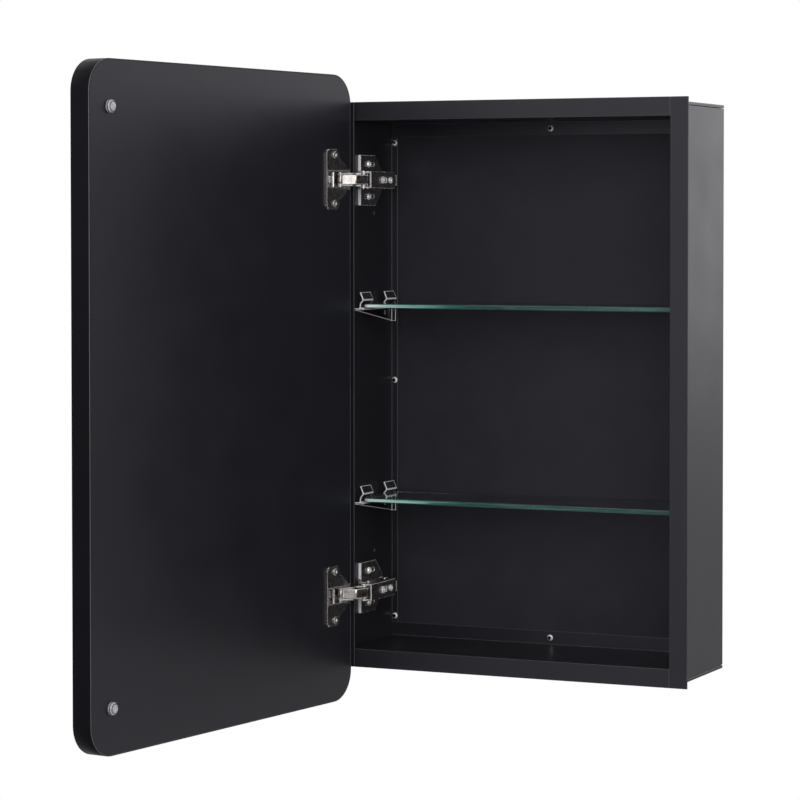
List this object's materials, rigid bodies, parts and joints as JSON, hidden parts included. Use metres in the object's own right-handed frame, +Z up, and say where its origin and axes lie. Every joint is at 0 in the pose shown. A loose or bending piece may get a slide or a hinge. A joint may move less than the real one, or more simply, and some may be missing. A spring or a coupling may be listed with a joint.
{
  "type": "medicine cabinet",
  "caption": "Shallow wall-hung medicine cabinet with a rounded mirror door on concealed cup hinges, glass shelves on clear brackets and keyhole hangers.",
  "frame": {"origin": "centre of the rectangle of wall-screw keyholes, on the wall plane", "axes": "+Z up, +Y into the wall, +X to the right seen from the front; the door stands open on the -X side"},
  "size_m": [0.4198, 0.5245, 0.61],
  "materials": {
    "cabinet_metal": "satin black powder coat",
    "back_sheet": "satin black powder coat",
    "door_metal": "satin black powder coat",
    "door_back_sheet": "satin black powder coat",
    "door_core_board": "raw fibreboard",
    "adhesive": "matte",
    "mirror": "polished",
    "bumper_rubber": "soft translucent",
    "shelf_glass": "clear, polished edges",
    "clear_plastic": "clear moulded",
    "hinge_nickel": "nickel-plated, satin",
    "pin_steel": "ground",
    "fastener_steel": "zinc-plated",
    "zinc_plated_steel": "zinc-plated sheet"
  },
  "bodies": {
    "cabinet": {"left_side_panel": "cabinet_metal", "right_side_panel": "cabinet_metal", "top_panel": "cabinet_metal", "bottom_panel": "cabinet_metal", "back_panel": "back_sheet", "back_panel_screws": "fastener_steel", "keyhole_plates": "zinc_plated_steel", "corner_angles": "zinc_plated_steel", "upper_glass_shelf": "shelf_glass", "lower_glass_shelf": "shelf_glass", "upper_left_bracket": "clear_plastic", "upper_right_bracket": "clear_plastic", "lower_left_bracket": "clear_plastic", "lower_right_bracket": "clear_plastic", "upper_mounting_plate": "hinge_nickel", "lower_mounting_plate": "hinge_nickel", "mounting_plate_screws": "fastener_steel", "upper_hinge_arm": "hinge_nickel", "lower_hinge_arm": "hinge_nickel", "hinge_adjusting_screws": "fastener_steel", "hinge_arm_pins": "pin_steel", "release_lever_pins": "pin_steel"},
    "inner_links": {"upper_inner_link": "hinge_nickel", "lower_inner_link": "hinge_nickel"},
    "outer_links": {"upper_outer_link": "hinge_nickel", "lower_outer_link": "hinge_nickel"},
    "door": {"door_frame": "door_metal", "door_back_panel": "door_back_sheet", "door_core": "door_core_board", "mirror_adhesive": "adhesive", "mirror_glass": "mirror", "door_bumpers": "bumper_rubber", "upper_hinge_cup": "hinge_nickel", "lower_hinge_cup": "hinge_nickel", "cup_pivot_pins": "pin_steel", "cup_screws": "fastener_steel", "closing_springs": "pin_steel"},
    "upper_release_lever": {"upper_release_lever": "hinge_nickel"},
    "lower_release_lever": {"lower_release_lever": "hinge_nickel"}
  },
  "joints": [
    {"name": "door_swing", "type": "hinge", "parent": "cabinet", "child": "inner_links", "pos_m": [-0.15944, -0.09388, 0], "axis": [0, 0, 1], "range_deg": [-33.18, 2]},
    {"name": "door_on_links", "type": "hinge", "parent": "inner_links", "child": "door", "pos_m": [-0.16946, -0.13439, 0], "axis": [0, 0, -1], "range_deg": [-130.69, 7.89]},
    {"name": "outer_link_swing", "type": "hinge", "parent": "cabinet", "child": "outer_links", "pos_m": [-0.15448, -0.11317, 0], "axis": [0, 0, 1], "range_deg": [-27.89, 1.69]},
    {"name": "upper_lever_press", "type": "hinge", "parent": "cabinet", "child": "upper_release_lever", "pos_m": [-0.156, -0.063, 0.2015], "axis": [0, 0, -1], "range_deg": [0, 8], "stiffness_Nm_per_rad": 0.02, "springref_deg": -2.86},
    {"name": "lower_lever_press", "type": "hinge", "parent": "cabinet", "child": "lower_release_lever", "pos_m": [-0.156, -0.063, -0.2035], "axis": [0, 0, -1], "range_deg": [0, 8], "stiffness_Nm_per_rad": 0.02, "springref_deg": -2.86}
  ],
  "couplings": [
    {"joint": "door_on_links", "follows": "door_swing", "ratio": 3.9388},
    {"joint": "outer_link_swing", "follows": "door_swing", "ratio": 0.84033}
  ]
}
